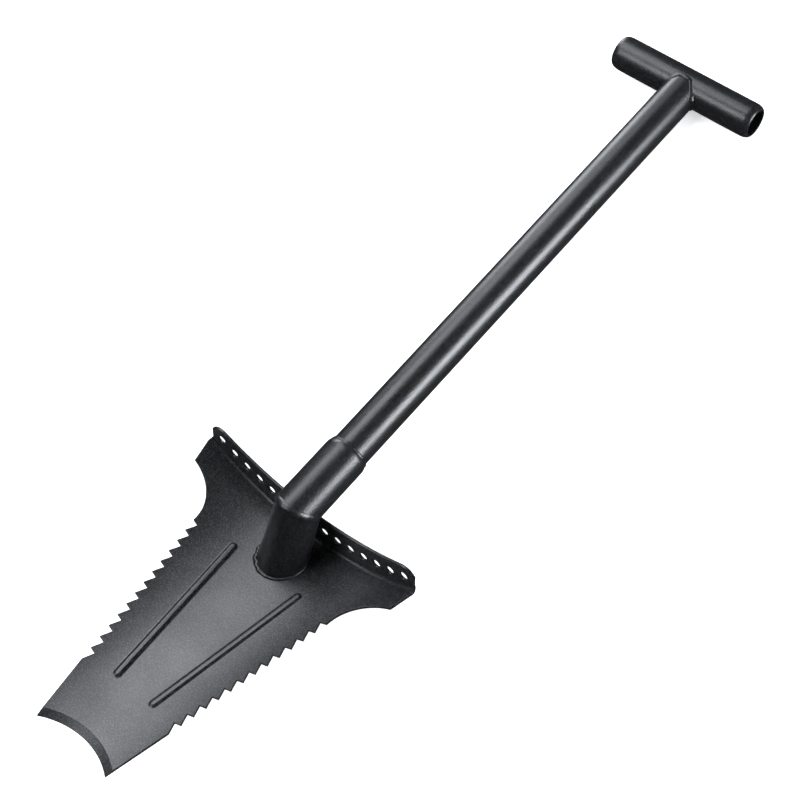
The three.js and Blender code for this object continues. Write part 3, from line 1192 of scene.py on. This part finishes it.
@dataclass(frozen=True)
class SoftBox:
    """A soft studio light that faces the middle of the tool.

    Attributes:
        name: Name of the light.
        spot: Its middle in the tool's axes, in millimetres.
        width: Size across, in millimetres.
        length: Size along the tool, in millimetres.
        glow: Radiance of its face, in watts per square metre and steradian.
        flagged: Whether a black flag keeps it off the blade, which would mirror it as a white
            sheet when seen at a low angle.
    """

    name: str
    spot: tuple[float, float, float]
    width: float
    length: float
    glow: float
    flagged: bool = False

    def hang(self, axes: Axes, middle: Array, blade: bpy.types.Object) -> None:
        """Hang the light so that it faces the tool's middle.

        Args:
            axes: The tool's axes.
            middle: The tool's middle along them.
            blade: The blade, which a flagged light doesn't reach.
        """
        data = bpy.data.lights.new(self.name, "AREA")
        data.shape = "RECTANGLE"
        data.size = self.width * MM
        data.size_y = self.length * MM
        data.color = linear("#f6faff")[:3]
        data.energy = self.glow * np.pi * self.width * self.length * MM * MM
        light = bpy.data.objects.new(self.name, data)
        light.matrix_world = facing(axes.out(self.spot), axes.out(middle), axes.y)
        bpy.context.scene.collection.objects.link(light)
        if self.flagged:
            flag = bpy.data.collections.new(self.name + "_flag")
            flag.objects.link(blade)
            flag.collection_objects[0].light_linking.link_state = "EXCLUDE"
            light.light_linking.receiver_collection = flag


@dataclass(frozen=True)
class Studio:
    """Pale floor, soft boxes and the camera.

    Attributes:
        middle: The tool's middle in its own axes, which the lights face.
        eye: Place of the camera in the tool's axes.
        aim: Point that the camera looks at.
        up: Direction that is up in the picture.
        lens: Focal length in millimetres.
        sensor: Width of the sensor in millimetres.
        boxes: The soft boxes.
        floor_sizes: Radius of the flat floor, radius of its sweep and height of its wall.
        floor_rings: Rings of the flat floor.
        floor_sides: Steps round it.
        sky: Brightness of the surroundings.
    """

    middle: tuple[float, float, float] = (0.0, 300.0, 60.0)
    eye: tuple[float, float, float] = (445.05, -227.19, 910.69)
    aim: tuple[float, float, float] = (-0.74, 309.42, 60.21)
    up: tuple[float, float, float] = (-0.5203, 0.5723, 0.6338)
    lens: float = 72.08
    sensor: float = 36.0
    floor_sizes: tuple[float, float, float] = (4500.0, 1500.0, 5000.0)
    floor_rings: int = 12
    floor_sides: int = 96
    sky: float = 0.06
    boxes: tuple[SoftBox, ...] = (
        SoftBox("soft_box_low_left", (-660.0, 280.0, 1230.0), 850.0, 420.0, 9.3),
        SoftBox("soft_box_left", (-660.0, 750.0, 1230.0), 850.0, 520.0, 5.6),
        SoftBox("soft_box_right", (1140.0, 700.0, 450.0), 560.0, 720.0, 28.0, True),
        SoftBox("soft_box_front", (-720.0, -880.0, 1238.0), 760.0, 760.0, 13.5),
        SoftBox("soft_box_far", (-1280.0, 1200.0, 620.0), 700.0, 900.0, 9.5, True),
    )

    def floor(self) -> None:
        """Lay the pale floor, which sweeps up into a round wall far behind the lights.

        It is a turned shape: flat to the start of the sweep, a quarter circle, then upright.  It
        stays out of the coat's reflections, as black cards round the tool would keep it.
        """
        turn = np.linspace(0.0, QUARTER, 13)[1:]
        flat, sweep, wall = self.floor_sizes
        radius = np.concatenate([np.linspace(0.0, flat, self.floor_rings),
                                 flat + sweep * np.sin(turn), [flat + sweep]])[:, None]
        height = np.concatenate([np.zeros(self.floor_rings), sweep * (1.0 - np.cos(turn)),
                                 [wall]])[:, None]
        angle = around(self.floor_sides)
        points = np.stack(np.broadcast_arrays(
            radius * np.cos(angle), radius * np.sin(angle), height), axis=-1)
        quads = grid_faces(len(height), self.floor_sides, False, True)
        floor = make_piece("studio_floor", points.reshape(-1, 3), quads)
        floor.data.materials.append(StudioPaper().build())
        floor.visible_glossy = False

    def camera(self, axes: Axes) -> None:
        """Set up the camera and make it the scene's.

        Args:
            axes: The tool's axes.
        """
        up = np.array(self.up) @ np.stack([axes.x, axes.y, axes.z])
        data = bpy.data.cameras.new("camera")
        data.lens = self.lens
        data.sensor_width = self.sensor
        data.clip_end = 50.0
        camera = bpy.data.objects.new("camera", data)
        camera.matrix_world = facing(axes.out(self.eye), axes.out(self.aim), up)
        bpy.context.scene.collection.objects.link(camera)
        bpy.context.scene.camera = camera

    def build(self, axes: Axes, blade: bpy.types.Object) -> None:
        """Set the camera, the floor, the lights and the surroundings.

        Args:
            axes: The tool's axes.
            blade: The blade, which flagged lights don't reach.
        """
        self.camera(axes)
        self.floor()
        for box in self.boxes:
            box.hang(axes, np.array(self.middle), blade)
        world = bpy.data.worlds.new("studio_air")
        world.use_nodes = True
        sky = world.node_tree.nodes["Background"]
        sky.inputs["Color"].default_value = linear("#ffffff")
        sky.inputs["Strength"].default_value = self.sky
        bpy.context.scene.world = world
        bpy.context.scene.view_settings.view_transform = "Standard"
        LOG.info("studio: %d soft boxes", len(self.boxes))


def main() -> None:
    """Build the tool piece by piece, then the studio."""
    logging.basicConfig(level=logging.INFO, format="%(name)s %(message)s")
    joints = Joints()
    tool = tool_axes(frame["record"], joints)
    elbow = np.array(joints.elbow)
    shaft_axes = tool.tilted(elbow, joints.lean)
    stub_axes = tool.tilted(elbow, joints.stub_tilt())

    # Over pressed sheet the coat lies flat and shows its sandy fleck as a satin grey field.
    sheet_coat = PowderCoat(Surface.PRESSED, body="#09090a", fleck="#343538", roughness=0.33,
                            grain_depth=0.08).build()
    # Round a tube it keeps the darker default colours, painted shade that keeps the stub near
    # black, and draws the lights out into long soft streaks.
    tube_coat = PowderCoat(Surface.DRAWN_TUBE_PAINTED_SHADE, density=1.42, peel=2.6).build()
    # It runs together over a weld bead, whose ripples break the light into small glints.
    weld_coat = PowderCoat(Surface.WELDED, roughness=0.31, density=1.45,
                           grain_depth=0.14).build()

    blade = Blade(joints).build(tool)
    socket, handle = Socket(joints), Handle(joints)
    for piece, coat, slot, node in (
            (blade, sheet_coat, "blade_coat", "blade"),
            (socket.stub(stub_axes), tube_coat, "tube_coat", "socket_stub"),
            (socket.sleeve(shaft_axes), tube_coat, "tube_coat", "socket_sleeve"),
            (socket.base_weld(tool), weld_coat, "weld_coat", "weld_blade"),
            (socket.elbow_weld(shaft_axes), weld_coat, "weld_coat", "weld_elbow"),
            (socket.mouth_weld(shaft_axes), weld_coat, "weld_coat", "weld_sleeve"),
            (handle.shaft(shaft_axes), tube_coat, "tube_coat", "shaft"),
            (handle.t_bar(shaft_axes), tube_coat, "tube_coat", "t_handle"),
            (handle.tee_weld(shaft_axes), weld_coat, "weld_coat", "weld_tee")):
        finish_piece(piece, coat, slot, node)
    Studio().build(tool, blade)


if __name__ == "__main__":
    main()
